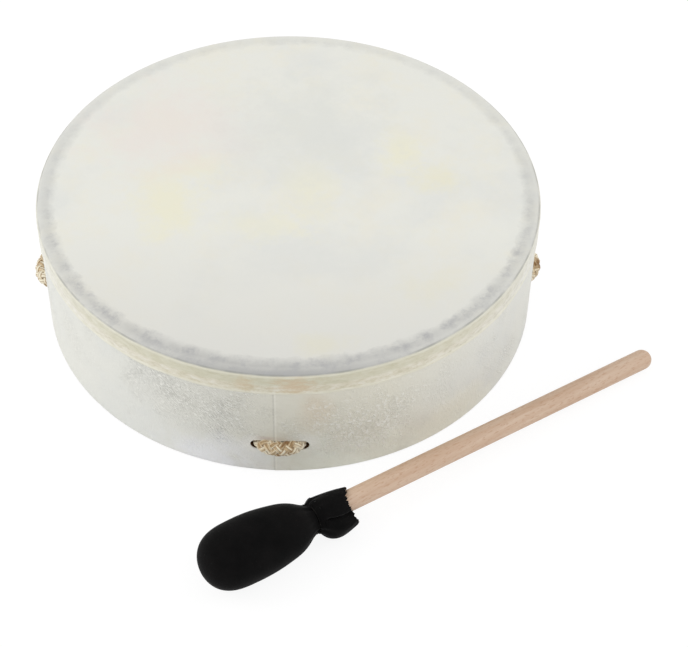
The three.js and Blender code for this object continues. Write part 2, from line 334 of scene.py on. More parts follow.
WRAP_STAINS_AND_PAINTED_LIGHT = (
    ((24, -175, -34), (13, 60, 22), "#decfb8", 0.5),
    # Painted light at the foot, against the shade near the floor
    ((-34, -174, -92), (50, 80, 28), "#eeeff2", 0.8),
    ((44, -172, -92), (60, 80, 30), "#f4f6eb", 0.85),
    # A cream patch at the foot, made paler as painted light against the shade near the floor
    ((112, -138, -88), (46, 60, 22), "#f4f2e3", 0.7),
    # Painted shadow of the rope on the wall over the front slot
    ((-8, -177, -63), (10, 30, 2.4), "#c8b5ac", 0.45),
    ((-19, -176, -70), (7, 30, 9), "#f2f0e8", 0.6),
    ((19, -176, -70), (7, 30, 9), "#f2f0e8", 0.6),
)
STAIN_RAGGEDNESS = 3
STAIN_FULL, STAIN_GONE = 1.7, 2.6  # in half sizes, with the raggedness added
RING_INNER, RING_OUTER = 0.1640, 0.1745  # metres, as all lengths inside the materials are


def patch(tree, place, ragged, centre, half, share):
    """Share of a soft-edged patch, centre and half sizes in mm, its border moved about by a noise."""
    centre, half = ([value * MM for value in triple] for triple in (centre, half))
    stretch = {"Vector": place, "Location": centre, "Scale": half}
    near = node(tree, "Mapping", stretch, vector_type="TEXTURE")
    reach = node(tree, "VectorMath", (near,), output=1, operation="LENGTH")
    reach = node(tree, "Math", (ragged, STAIN_RAGGEDNESS, reach), operation="MULTIPLY_ADD")
    return node(tree, "MapRange", (reach, STAIN_GONE, STAIN_FULL, 0, share))


def lay_stains_and_painted_light(tree, place, ragged, colour, stains):
    """Lays the patches of a list over a colour: stains, and on the wrap also painted light and a painted
    shadow.
    """
    layers = [(patch(tree, place, ragged, *where, share), code) for *where, code, share in stains]
    return layered(tree, colour, layers)


def away_from(tree, value, middle):
    """How far a value lies from a middle one, either way."""
    gap = node(tree, "Math", (value, middle), operation="SUBTRACT")
    return node(tree, "Math", (gap,), operation="ABSOLUTE")


def film_face(tree, place, y, fibres):
    """Clouds of the mat, 30 to 60 mm across, its fibres, a duller front, and stains."""
    shifted = node(tree, "VectorMath", (place, (3.1, 1.7, 0.4)), operation="ADD")
    cream, grey, ragged = (
        node(tree, "TexNoise", {"Vector": vector, "Scale": scale, "Detail": 5, "Roughness": rough})
        for vector, scale, rough in ((place, 24, 0.7), (shifted, 14, 0.6), (place, 34, 0.75))
    )
    clouds = (
        (cream, 0.47, 0.62, 0.4, "#ece7d4"),
        (grey, 0.47, 0.64, 0.45, "#dcdedc"),
        (fibres, 0.35, 0.75, 0.3, "#ebeae5"),
        (y, -0.04, -0.16, 0.9, "#dddcd6"),
    )
    layers = [(node(tree, "MapRange", (*ends, 0, share)), code) for *ends, share, code in clouds]
    return lay_stains_and_painted_light(tree, place, ragged, layered(tree, "#e9e9e1", layers), FACE_STAINS)


def film_ring(tree, place, y, radius, face):
    """Bearing surface seen through the film: a grey ring, wide and dark at the front, faint at the back.

    Its inner border wanders and is smudged, and it fades again towards the crease, but not at the front.
    """
    wander = node(tree, "TexNoise", {"Vector": place, "Scale": 80, "Detail": 4, "Roughness": 0.65})
    smudge = node(tree, "TexNoise", {"Vector": place, "Scale": 75, "Detail": 5, "Roughness": 0.72})
    front = -1 / (COLLAR_RADIUS * MM)
    forward = node(tree, "Math", (y, front), operation="MULTIPLY", use_clamp=True)
    at_front = node(tree, "Math", (forward, 6), operation="POWER")
    at_sides = node(tree, "MapRange", (y, -0.06, 0.13, 0.6, 0.24))
    depth = node(tree, "Math", (at_front, 0.4, at_sides), operation="MULTIPLY_ADD", use_clamp=True)
    inner = node(tree, "Math", (at_front, -0.006, RING_INNER), operation="MULTIPLY_ADD")
    border = node(tree, "Math", (wander, 0.012, radius), operation="MULTIPLY_ADD")
    border = node(tree, "Math", (border, 0.006), operation="SUBTRACT")
    outer = node(tree, "MapRange", (radius, RING_OUTER - 0.005, RING_OUTER, 1, 0.4))
    outer = node(tree, "Math", (outer, at_front), operation="MAXIMUM")
    ring = node(tree, "MapRange", (border, inner, RING_OUTER))
    ring = node(tree, "Math", (ring, 0.9), operation="POWER")
    for share in (depth, outer):
        ring = node(tree, "Math", (ring, share), operation="MULTIPLY")
    smudge = node(tree, "MapRange", (smudge, 0.46, 0.64, 0, 0.95))
    on_ring = node(tree, "MapRange", (border, inner, RING_INNER + 0.005))
    fading = node(tree, "MapRange", (y, -0.12, 0.02, 1, 0.2))
    for share in (on_ring, outer, fading):
        smudge = node(tree, "Math", (smudge, share), operation="MULTIPLY")
    return layered(tree, face, ((ring, "#a8a8a6"), (smudge, "#b0b0b0")))


def film_band(tree, place, y, z, streaks):
    """Collar, streaked along the drum, yellower towards the front, paler at both edges, where painted
    highlights lie along its two ridges.
    """
    plain, yellowed = (
        node(tree, "ValToRGB", (streaks,), stops=zip((0.34, 0.48, 0.64), codes))
        for codes in (("#dadad4", "#e7e7e1", "#f0efeb"), ("#cac4aa", "#dcd6c1", "#eae6d8"))
    )
    age = node(tree, "MapRange", (y, -0.06, -0.17, 0.25, 1))
    olive = node(tree, "MapRange", (z, -0.011, -0.009, 0, 0.6))
    olive = node(tree, "Math", (olive, age), operation="MULTIPLY")
    # Painted highlights along the low ridge at the collar's foot and the high ridge under the rim
    low_ridge_highlight = node(tree, "MapRange", (z, -0.0158, -0.0168, 0, 0.7))
    high_ridge_highlight = node(tree, "MapRange", (z, -0.0032, -0.0020, 0, 0.4))
    band = layered(tree, plain, ((age, yellowed), (olive, "#d1cfb7")))
    band = lay_stains_and_painted_light(tree, place, streaks, band, COLLAR_STAINS)
    return layered(tree, band, ((low_ridge_highlight, "#eae8d8"), (high_ridge_highlight, "#e8e6d9")))


def film_crease_shade(tree, place, z, radius):
    """Share of the painted shade line in the crease where the face turns down, broken here and there."""
    worn = node(tree, "TexNoise", {"Vector": place, "Scale": 60, "Detail": 3})
    worn = node(tree, "MapRange", (worn, 0.38, 0.62, 0.05, 0.5))
    at_rim = node(tree, "Math", (radius, RING_OUTER - 0.0005), operation="GREATER_THAN")
    crease = node(tree, "MapRange", (away_from(tree, z, -0.0008), 0.0006, 0.0002))
    for share in (worn, at_rim):
        crease = node(tree, "Math", (crease, share), operation="MULTIPLY")
    return crease


def film_material():
    """Polyester drum film laminated with a fibre mat, moulded over the rim.

    Milky and matte, faintly clouded with cream and grey where the mat is thicker, grey and smudged where
    the rim's bearing surface shows through it, and on the side a yellowed, streaky band. A painted shade
    line runs in the crease at the rim, and painted highlights lie along the collar's two ridges.
    """
    made, tree, place = new_material("milky_polyester_film", Roughness=0.5, Specular_IOR_Level=0.3)
    _, y, z = node(tree, "SeparateXYZ", (place,)).node.outputs
    flat = node(tree, "VectorMath", (place, (1, 1, 0)), operation="MULTIPLY")
    radius = node(tree, "VectorMath", (flat,), output=1, operation="LENGTH")
    drawn_out = node(tree, "Mapping", {"Vector": place, "Scale": (1, 1, 2.6)})
    fibres = node(tree, "TexNoise", {"Vector": place, "Scale": 150, "Detail": 4, "Roughness": 0.6})
    streaks = node(tree, "TexNoise", {"Vector": drawn_out, "Scale": 120, "Detail": 5, "Roughness": 0.75})
    face = film_ring(tree, place, y, radius, film_face(tree, place, y, fibres))
    side = node(tree, "MapRange", (z, -0.0007, -0.0013))
    layers = (
        (side, film_band(tree, place, y, z, streaks)),
        # Painted shade in the crease at the rim
        (film_crease_shade(tree, place, z, radius), "#8c8d86"),
    )
    grain = node(tree, "Mix", {0: side, 2: fibres, 3: streaks})
    return finish_material(made, layered(tree, face, layers), grain, 0.35, 0.0005)


def wrap_relief(tree, place, unrolled, clouds):
    """Height of the embossing: crumples, pores, short worm-like marks, and slanting fibres, which are
    drawn 1.5 mm apart so that they show."""
    slant = node(
        tree,
        "Mapping",
        {"Vector": unrolled, "Rotation": (0, 0, math.radians(-36)), "Scale": (1, 0.26, 1)},
        vector_type="TEXTURE",
    )
    pores = node(tree, "TexNoise", {"Vector": place, "Scale": 420, "Detail": 4, "Roughness": 0.7})
    crumple, worms, hair = (
        node(tree, "TexNoise", {"Vector": vector, "Scale": scale, "Detail": detail, "Distortion": bent})
        for vector, scale, detail, bent in (
            (place, 110, 5, 0.8),
            (place, 500, 1, 1.2),
            (slant, 290, 1, 0.5),
        )
    )
    hair = node(tree, "MapRange", (hair, 0.42, 0.58, 0.32, 0.68))
    worms = node(tree, "MapRange", (worms, 0.4, 0.6, 0.28, 0.72))
    hair_share = patch(tree, place, clouds, (-58, -162, -38), (58, 80, 36), 0.8)
    worm_share = patch(tree, place, clouds, (56, -160, -56), (46, 80, 44), 0.8)
    # Elsewhere both kinds of mark come and go by themselves
    hair_share = node(tree, "MapRange", (clouds, 0.54, 0.7, hair_share, 0.45))
    worm_share = node(tree, "MapRange", (clouds, 0.5, 0.36, worm_share, 0.3))
    hair, worms = (
        node(tree, "Mix", {0: share, 2: 0.5, 3: marks})
        for share, marks in ((hair_share, hair), (worm_share, worms))
    )
    relief = node(tree, "MapRange", {0: crumple, 3: 0.35, 4: 0.65})
    for marks, strength in ((hair, 2.8), (worms, 2.2), (pores, 0.6)):
        relief = node(tree, "Math", (marks, strength, relief), operation="MULTIPLY_ADD")
    return relief


def wrap_material():
    """Laminated sheet embossed like raw hide, glued round the shell.

    Satin, pale grey to ivory, finely crumpled: slanting fibres 1 to 2 mm apart left of the seam, short
    worm-like marks on its right, pores between them, and stains of tan and cream. Its hollows carry
    painted shade and its raised bits painted highlights; the foot carries painted light, the wall over
    the front slot a painted shadow, and the sheet beside the seam a painted shade line.
    """
    made, tree, place = new_material("hide_embossed_laminate", Roughness=0.6, Specular_IOR_Level=0.35)
    x, _, z = node(tree, "SeparateXYZ", (place,)).node.outputs
    # The sheet laid flat: its two ends lie at the seam
    faced = node(tree, "Mapping", {"Vector": place, "Rotation": (0, 0, math.pi - SEAM)})
    ahead, aside, _ = node(tree, "SeparateXYZ", (faced,)).node.outputs
    angle = node(tree, "Math", (aside, ahead), operation="ARCTAN2")
    arc = node(tree, "Math", (angle, WRAP_RADIUS * MM), operation="MULTIPLY")
    unrolled = node(tree, "CombineXYZ", (arc, z))
    clouds, tone = (
        node(tree, "TexNoise", {"Vector": place, "Scale": scale, "Detail": 4, "Roughness": 0.6})
        for scale in (22, 9)
    )
    relief = wrap_relief(tree, place, unrolled, clouds)

    base = node(tree, "ValToRGB", (tone,), stops=((0.32, "#dfe0dc"), (0.5, "#e4e4dd"), (0.7, "#e8e7df")))
    # Warmer from the seam round to the right
    warmth = node(tree, "MapRange", (x, -0.09, 0.01, 0, 0.6))
    away = node(tree, "MapRange", (x, 0.07, 0.14, 1, 0))
    warmth = node(tree, "Math", (warmth, away), operation="MULTIPLY")
    base = lay_stains_and_painted_light(tree, place, clouds, layered(tree, base, [(warmth, "#e5e0cc")]), WRAP_STAINS_AND_PAINTED_LIGHT)
    # Painted shade in the embossing's hollows and painted highlights on its raised bits
    hollow = node(tree, "MapRange", (relief, 3.06, 2.8, 0, 0.55))
    raised_highlight = node(tree, "MapRange", (relief, 3.38, 3.62, 0, 0.85))
    base = layered(tree, base, ((hollow, "#b8b7ac"), (raised_highlight, "#f3f2eb")))
    # The seam: the upper end's cut edge is pale, and the sheet beside it carries a painted shade line
    # where the lapped edge shades it
    here = node(tree, "Math", (ahead, 0), operation="LESS_THAN")
    for middle, code, share in ((-0.0008, "#f2f0e6", 0.5), (0.0004, "#b9b7ae", 0.3)):
        line = node(tree, "MapRange", (away_from(tree, aside, middle), 0.0008, 0.0003, 0, share))
        line = node(tree, "Math", (line, here), operation="MULTIPLY")
        base = layered(tree, base, [(line, code)])
    return finish_material(made, base, relief, 0.8, 0.0011)


def board_material(name, dark, light, grit):
    """Board of pressed wood fibre: dull, with short fibres all ways and a slightly open surface."""
    made, tree, place = new_material(name, Roughness=0.85, Specular_IOR_Level=0.2)
    fibres = node(tree, "TexNoise", {"Vector": place, "Scale": grit, "Detail": 6, "Distortion": 1.5})
    share = node(tree, "MapRange", (fibres, 0.35, 0.68))
    return finish_material(made, layered(tree, dark, [(share, light)]), fibres, 0.5, 0.0006)


def rope_material(name, dark, middle, light, sheen=0.15):
    """Plant fibre, spun and plaited: straw to brown, matte, with fibres running along each strand.

    Each strand is two yarns side by side, with painted shade between them and along its two edges.
    """
    made, tree, place = new_material(name, Roughness=0.9, Specular_IOR_Level=0.2, Sheen_Weight=sheen)
    strand_uv = node(tree, "TexCoord", output=2)
    stretched = node(tree, "Mapping", {"Vector": strand_uv, "Scale": (0.03, 2.4, 1)})
    fibres = node(tree, "TexNoise", {"Vector": stretched, "Scale": 3.2, "Detail": 5, "Roughness": 0.7})
    patches = node(tree, "TexNoise", {"Vector": place, "Scale": 90, "Detail": 3})
    mixed = node(tree, "Mix", {0: 0.4, 2: fibres, 3: patches})
    colour = node(tree, "ValToRGB", (mixed,), stops=((0.4, dark), (0.48, middle), (0.55, light)))
    _, across, _ = node(tree, "SeparateXYZ", (strand_uv,)).node.outputs
    # Painted shade in the groove between the yarns and along the strand's edges
    off = away_from(tree, across, 0.25)
    groove_shade = node(tree, "MapRange", (off, 0.045, 0.015, 0, 0.55))
    edge = node(tree, "MapRange", (off, 0.14, 0.24, 0, 0.65))
    edge = node(tree, "Math", (edge, groove_shade), operation="MAXIMUM")
    return finish_material(made, layered(tree, colour, [(edge, dark)]), fibres, 0.8, 0.0005)


def beech_material():
    """Beech dowel, sanded and bare: pinkish tan, straight grain along it and short darker flecks."""
    made, tree, place = new_material("bare_beech", Roughness=0.55, Specular_IOR_Level=0.35)
    along = node(tree, "Mapping", {"Vector": place, "Rotation": (0, 0, -MALLET_HEADING)})
    grain_place, fleck_place = (
        node(tree, "Mapping", {"Vector": along, "Scale": (stretch, 1, 1)}) for stretch in (0.06, 0.22)
    )
    grain = node(tree, "TexNoise", {"Vector": grain_place, "Scale": 260, "Detail": 4, "Roughness": 0.6})
    flecks = node(tree, "TexNoise", {"Vector": fleck_place, "Scale": 1100, "Detail": 2})
    tone = node(tree, "MapRange", (grain, 0.3, 0.7))
    fleck_share = node(tree, "MapRange", (flecks, 0.56, 0.66, 0, 0.5))
    colour = layered(tree, "#c9a98f", ((tone, "#d7bfa9"), (fleck_share, "#b98f72")))
    return finish_material(made, colour, grain, 0.15, 0.0002)


def suede_material():
    """Black suede: a napped face that drinks light and shows a grey bloom where it turns away.

    The cut edge of the skin is raw and brown.
    """
    made, tree, place = new_material(
        "black_suede", Roughness=0.95, Specular_IOR_Level=0.06, Sheen_Weight=0.08, Sheen_Roughness=0.35
    )
    nap = node(tree, "TexNoise", {"Vector": place, "Scale": 1500, "Detail": 3})
    brushed = node(tree, "TexNoise", {"Vector": place, "Scale": 55, "Detail": 4, "Roughness": 0.6})
    share = node(tree, "MapRange", (brushed, 0.35, 0.7))
    raw = node(tree, "Attribute", output=2, attribute_name="raw_edge")
    raw = node(tree, "MapRange", (raw, 0.5, 0.9, 0, 0.8))
    colour = layered(tree, "#0a0a0a", ((share, "#131212"), (raw, "#5a4029")))
    height = node(tree, "Math", (nap, 0.3, brushed), operation="MULTIPLY_ADD")
    return finish_material(made, colour, height, 0.5, 0.0008)


def foam_material():
    """Firm foam rubber, open-celled and dull."""
    made, tree, place = new_material("firm_foam", Roughness=0.95, Specular_IOR_Level=0.1)
    cells = node(tree, "TexVoronoi", {"Vector": place, "Scale": 900})
    return finish_material(made, layered(tree, "#a8a294", [(cells, "#c6c1b3")]))


# Drum: head, wrap, shell and hoop

def make_drumhead():
    """Film of the head as a profile carried round the drum.

    The profile runs out over the flat face, dips into a crease, turns down over a rounded ridge, falls
    back a little and ends in a low ridge along the collar's foot. The hollow is half a sine wave, the
    crease and the low ridge are bell curves, and the foot wanders by a third of a millimetre.
    """
    angles = circle(480)
    face = np.c_[np.linspace(0, COLLAR_RADIUS - FACE_EDGE, 30), np.zeros(30)]
    edge_centre = (COLLAR_RADIUS - FACE_EDGE, -FACE_EDGE)
    edge = round_corner(edge_centre, FACE_EDGE, 86, 4, 24)
    down = np.linspace(-FACE_EDGE - 0.4, COLLAR_LOW, 40)
    hollow = 0.35 * np.sin(np.pi * np.clip((down - down[0]) / (COLLAR_LOW + 2.4 - down[0]), 0, 1))
    lip = 0.3 * np.exp(-(((down - COLLAR_LOW - 1.3) / 0.8) ** 2))
    side = np.c_[COLLAR_RADIUS - 0.3 - hollow + lip, down]
    inner_side = [[COLLAR_RADIUS - FILM, COLLAR_LOW], [COLLAR_RADIUS - FILM, -FACE_EDGE]]
    inner_edge = round_corner(edge_centre, FACE_EDGE - FILM, 6, 90, 6)
    grid = turned(np.vstack([face, edge, side, inner_side, inner_edge, [0, -FILM]]), angles)
    reach, height = np.hypot(grid[..., 0], grid[..., 1]), grid[..., 2]
    # The crease, 0.25 mm deep and 1.1 mm in from the collar, on the outside only
    outside = (height > -FILM / 2 - 0.9) & (reach > COLLAR_RADIUS - 2.2)
    height -= 0.25 * outside * np.exp(-(((reach - (COLLAR_RADIUS - 1.1)) / 0.3) ** 2))
    foot = np.clip((COLLAR_LOW + 5 - height) / 5, 0, 1) * (reach > COLLAR_RADIUS - 2 * FILM)
    height -= foot * (1.2 * np.cos(angles) ** 2 - 0.3 - 0.3 * ripple(angles, 3, (4, 60)))
    film = film_material()
    make_piece("drumhead_film", [(grid, True, (1, 1))], "drum", "drumhead", film)


def slot_columns():
    """Columns round the drum from slot to slot: each one's slot, its offset from that slot's middle, and
    whether the offset is a length across the slot (true) or an angle (false)."""
    round_end = TURN_RADIUS + SLOT_HALF * np.sin(np.radians(np.linspace(0, 90, 9)))
    flat = np.linspace(-TURN_RADIUS, TURN_RADIUS, 15)[1:-1]
    across = np.r_[-round_end[::-1], flat, round_end]
    columns = []
    for slot, following in zip(SLOTS, np.append(SLOTS[1:], SLOTS[0] + 2 * np.pi)):
        offsets = np.r_[across, np.linspace(SLOT_MARGIN, following - slot - SLOT_MARGIN, 52)]
        columns.append([np.full(offsets.size, slot), offsets, np.arange(offsets.size) < across.size])
    return [np.concatenate(parts) for parts in zip(*columns)]


def slot_half_height(offsets, is_length):
    """Half height of the slot at each column: flat along the middle, round at the ends, 0 outside."""
    beyond = np.clip(np.abs(offsets) - TURN_RADIUS, 0, SLOT_HALF)
    return np.where(is_length, np.sqrt(np.clip(SLOT_HALF**2 - beyond**2, 0, None)), 0)


def column_angles(columns, radius):
    """Angle of each column at a radius, so that a slot's end walls stay parallel through the wall."""
    slots, offsets, is_length = columns
    return slots + np.where(is_length, np.arcsin(np.clip(offsets / radius, -1, 1)), offsets)


def slotted_bands(columns, outer, inner, low, high, corner, closed, lift=None):
    """Wall with slots as two bands, under and over the slots' middle line.

    A band's section is a closed loop carried round the drum: up the outside, across, down the inside.
    Its edge at the middle line steps back by the slot's half height. Outside the slots the two bands
    touch there, so the faces across the wall are left out and the rows are welded. lift gives how far
    out the wall is raised at its heights.
    """
    half = slot_half_height(*columns[1:])
    rows = 12
    share = np.linspace(0, 1, rows)[:, None]
    bands = []
    for sign, edge in ((-1, low), (1, high)):
        middle = SLOT_HEIGHT + sign * half
        out_turn = round_corner((outer - corner, edge - sign * corner), corner, 0, sign * 90)
        in_turn = round_corner((inner + corner, edge - sign * corner), corner, sign * 90, sign * 180)
        turns = np.concatenate([out_turn[1:], in_turn])
        up = middle + share * (out_turn[0, 1] - middle)
        down = in_turn[-1, 1] + share[1:] * (middle - in_turn[-1, 1])
        heights = np.concatenate([up, turns[:, 1:].repeat(half.size, 1), down])
        radii = np.concatenate([np.full(rows, outer), turns[:, 0], np.full(rows - 1, inner)])[:, None]
        angles = column_angles(columns, radii)
        reach = radii + (lift(heights) if lift else 0)
        grid = np.stack([reach * np.cos(angles), reach * np.sin(angles), heights], axis=2)
        bands.append((grid, closed, (1, 1)))
        # The slot's floor or roof, only where there is a slot
        opening = (half > 0) | (np.roll(half, -1) > 0)
        floor = np.flatnonzero(opening if closed else opening[:-1])
        bands.append((np.stack([grid[-1], grid[0]]), closed, (1, 1), floor))
        for section in () if closed else (grid[:, 0], grid[:, -1]):
            count = len(section) // 2
            bands.append((np.stack([section[:count], section[::-1][:count]]), False, (1, 1)))
    return bands


def make_shell():
    """Bent wall of the shell, rounded at both edges."""
    inner = SHELL_RADIUS - WALL
    bands = slotted_bands(slot_columns(), SHELL_RADIUS, inner, TABLE, shell_high[2], CORNER, closed=True)
    board = board_material("pressed_fibre_board", "#4c3523", "#7d5d42", 260)
    make_piece("shell_wall", bands, "drum", "shell", board)


def make_wrap():
    """Sheet bent round the shell from the seam back to the seam, where its start laps over its end."""
    slots, offsets, is_length = columns = slot_columns()
    turn = 2 * np.pi
    front, seam = SLOTS[-1], SEAM + turn
    seam_offset = WRAP_RADIUS * math.sin(seam - front)
    after = int(np.searchsorted(column_angles(columns, WRAP_RADIUS), seam))
    columns = [
        np.r_[front, slots[after:], slots[:after] + turn, front + turn],
        np.r_[seam_offset, offsets[after:], offsets[:after], seam_offset],
        np.r_[True, is_length[after:], is_length[:after], True],
    ]
    from_seam = (column_angles(columns, WRAP_RADIUS) - seam) * WRAP_RADIUS

    def lift(heights):
        under_collar = np.clip((COLLAR_LOW - 1 - heights) / 6, 0, 1)
        return SEAM_LIFT * (1 - np.clip(from_seam / SEAM_LAP, 0, 1)) ** 2 * under_collar

    bands = slotted_bands(
        columns, WRAP_RADIUS, WRAP_RADIUS - WRAP, wrap_low[2], wrap_high[2], 0.2, closed=False, lift=lift
    )
    make_piece("hide_wrap", bands, "drum", "shell_wrap", wrap_material())


def make_hoop():
    """Bearing hoop, a plain ring with its inner top edge rounded."""
    inner, low, high = HOOP_RADIUS - HOOP_WIDTH, hoop_low[2], hoop_high[2]
    outside = [[inner, low], [HOOP_RADIUS, low], [HOOP_RADIUS, high]]
    rounded = round_corner((inner + CORNER, high - CORNER), CORNER, 90, 180)
    grid = turned(np.vstack([outside, rounded, [inner, low]]), circle(240))
    hoop = board_material("grey_fibre_board", "#7d776b", "#a19b8d", 200)
    make_piece("bearing_ring", [(grid, True, (1, 1))], "drum", "bearing_hoop", hoop)


# Ropes and cords

def path_frames(path):
    """Sideways and upward directions along a path; sideways stays level."""
    tangent = unit(np.gradient(path, axis=0))
    aside = unit(np.cross(tangent, [0, 0, 1]))
    return aside, np.cross(aside, tangent)


def turning_frames(path):
    """The same for a path that climbs: the sideways direction is carried along without twisting."""
    tangent = unit(np.gradient(path, axis=0))
    aside = np.empty_like(path)
    guess = np.cross(tangent[0], [0.3, 0.5, 0.8])
    for i, direction in enumerate(tangent):
        guess = aside[i] = unit(guess - direction * (guess @ direction))
    return aside, np.cross(aside, tangent)


def headed(ahead, aside, height, heading):
    """Points from lengths ahead and to the left of a level heading, at a height."""
    cos, sin = np.cos(heading), np.sin(heading)
    return np.c_[ahead * cos - aside * sin, ahead * sin + aside * cos, height]


def evenly(path, step):
    """The path again with points a step apart along it, and each one's length along it."""
    length = np.r_[0, np.cumsum(np.linalg.norm(np.diff(path, axis=0), axis=1))]
    wanted = np.linspace(0, length[-1], int(length[-1] / step) + 1)
    return np.stack([np.interp(wanted, length, path[:, k]) for k in range(3)], axis=1), wanted


def strand(path, frames, around, reach, half_width, half_thickness, sides, uv_step):
    """Flattened tube that runs beside a path: at each point it stands off by reach at the angle around.

    Its section is an ellipse, its width across the outward way and its thickness along it.
    """
    aside, up = frames
    out = np.cos(around)[:, None] * aside + np.sin(around)[:, None] * up
    centre = path + reach[:, None] * out
    tangent = unit(np.gradient(centre, axis=0))
    across = unit(np.cross(tangent, out))
    out = np.cross(across, tangent)
    a = circle(sides)
    wide, thick = (
        np.outer(half, shape)[..., None] * way[:, None]
        for half, shape, way in ((half_width, np.cos(a), across), (half_thickness, np.sin(a), out))
    )
    first, last = (np.repeat(centre[k][None, None], sides, 1) for k in (0, -1))
    return np.concatenate([first, centre[:, None] + wide + thick, last]), True, (uv_step, 1 / sides)


def plait(path, frames, along, radius, strands, lay):
    """Round plait: half the strands wind each way, and each passes over and under the others in turn.

    A strand's angle is its share of the circle plus or minus the turns so far, and its distance from
    the middle swings once for every second strand that it meets. Its half width fills its own share
    of the circle, measured across it. radius is given for each point.
    """
    half = strands // 2
    thick, swing = 0.2 * radius, 0.13 * radius
    middle = radius - thick - swing
    wide = math.pi * middle / half * np.cos(np.arctan(2 * math.pi * middle / lay))
    turns = 2 * np.pi * along / lay
    tubes = []
    for way in (1, -1):
        for k in range(half):
            around = way * turns + 2 * np.pi * k / half
            reach = middle + way * swing * np.cos(half * turns)
            tubes.append(strand(path, frames, around, reach, wide, thick, 12, along[1]))
    nowhere, core = np.zeros_like(along), middle - 0.4 * thick
    tubes.append(strand(path, frames, nowhere, nowhere, core, core, 10, along[1]))
    return tubes


def twisted(path, frames, along, radius, lay):
    """Laid cord: three round strands wound the same way round each other."""
    thick = np.full_like(along, radius * 0.54)
    turns = 2 * np.pi * along / lay
    return [
        strand(path, frames, turns + 2 * np.pi * k / 3, radius - thick, thick, thick, 8, along[1])
        for k in range(3)
    ]


def rope_path(angle, rise, bend):
    """Middle line of one rope: along one run, round outside its slot, back, and so at the other end.

    The turn is a half circle, blunted by a power of the cosine, and the height is a quarter of a cosine
    wave from the crossing to the turn. The rope that bends swings its left half towards a slot that
    isn't opposite the first, and its right turn is pulled in.
    """
    turn_centre = COLLAR_RADIUS - TURN_INSET
    a = np.linspace(np.pi / 2, -np.pi / 2, 60)
    run = np.linspace(0, 1, 80)[1:-1]
    spread = HUB_SPREAD + (TURN_RADIUS - HUB_SPREAD) * run
    pieces = [[ROPE_END_GAP / 2, HUB_SPREAD]]
    for end in (1, -1):
        pulled = RIGHT_TURN_INSET if bend and end > 0 else 0
        reach = turn_centre + (TURN_RADIUS - pulled) * np.cos(a).clip(0) ** TURN_BLUNTNESS
        out = np.c_[turn_centre * run, spread]
        turn = np.c_[reach, TURN_RADIUS * np.sin(a)]
        pieces += [end * out, end * turn, end * out[::-1] * [1, -1]]
        pieces.append([0, -HUB_SPREAD] if end > 0 else [-ROPE_END_GAP / 2, HUB_SPREAD])
    ahead, aside = np.vstack(pieces).T
    height = SLOT_HEIGHT + rise * np.cos(np.clip(np.abs(ahead) / turn_centre, 0, 1) * np.pi / 2)
    return headed(ahead, aside, height, angle + bend * np.clip(-ahead / LEFT_BEND_REACH, 0, 1))


def make_rope(name, angle, rise, bend, replaced, material):
    """Plaited rope of eight strands. It swells and rises a little where it turns outside the wall."""
    path, along = evenly(rope_path(angle, rise, bend), 1.0)
    out = np.clip((np.hypot(path[:, 0], path[:, 1]) - WRAP_RADIUS + 1) / 3, 0, 1)
    out = out * out * (3 - 2 * out)
    path[:, 2] += TURN_LIFT * out
    radius = ROPE / 2 + TURN_SWELL * out
    tubes = plait(path, path_frames(path), along, radius, 8, 24.0)
    make_piece(name, tubes, "drum", replaced, material, sharp=180)


def lashing_path(angle, half_height):
    """Squared loops in upright planes along a diagonal, stepping sideways, with straight ends.

    Sine and cosine are raised to a power below 1, which squares the loop.
    """
    t = np.linspace(0, 2 * np.pi * LASHING_TURNS, 160 * LASHING_TURNS)
    reach, height = (
        size * np.sign(swing) * np.abs(swing) ** (2 / LASHING_SQUARENESS)
        for size, swing in ((LASHING_REACH, np.sin(t)), (half_height, -np.cos(t)))
    )
    aside = LASHING_PITCH * (t / (2 * np.pi) - LASHING_TURNS / 2)
    loops = headed(reach, aside, SLOT_HEIGHT + height, angle)
    out = np.array([math.cos(angle), math.sin(angle), 0]) * LASHING
    return np.vstack([loops[0] - out, loops, loops[-1] + out])


def make_lashing(name, angle, half_height, replaced, material):
    """Winding of laid cord over the crossing."""
    path, along = evenly(lashing_path(angle, half_height), 0.7)
    cord = twisted(path, turning_frames(path), along, LASHING / 2, 9.0)
    make_piece(name, cord, "drum", replaced, material, sharp=180)


# Mallet

def head_line(tip_steps, shoulder_steps):
    """Blunt egg of the head as [radius, distance from the tip]: two squared quarter ellipses that meet
    where it is widest, the second one cut off at the neck."""
    a = np.linspace(np.pi / 2, 0, tip_steps)
    tip = [HEAD_RADIUS * np.cos(a), WIDEST * (1 - np.sin(a) ** (2 / TIP_FULLNESS))]
    end = math.acos(NECK_RADIUS / HEAD_RADIUS)
    length = (HEAD_LENGTH - WIDEST) / math.sin(end) ** (2 / SHOULDER_FULLNESS)
    b = np.linspace(0, end, shoulder_steps)[1:]
    shoulder = [HEAD_RADIUS * np.cos(b), WIDEST + length * np.sin(b) ** (2 / SHOULDER_FULLNESS)]
    return np.concatenate([tip, shoulder], axis=1).T


def mallet_place():
    """Turns the mallet's own frame, X along it from the tip, to where it lies: level tip height and tilt
    follow from the head and the handle's end both touching the table."""
    line = head_line(200, 200)
    tilt = 0.0
    for _ in range(6):
        tip_height = (line[:, 0] * math.cos(tilt) + line[:, 1] * math.sin(tilt)).max()
        tilt = math.asin((tip_height - HANDLE_RADIUS) / (MALLET_LENGTH - HANDLE_RADIUS))
    turn = Matrix.Rotation(MALLET_HEADING, 3, "Z") @ Matrix.Rotation(tilt, 3, "Y")
    return np.array(turn), np.array([*MALLET_TIP, TABLE + tip_height])


MALLET_TURN, MALLET_SHIFT = mallet_place()


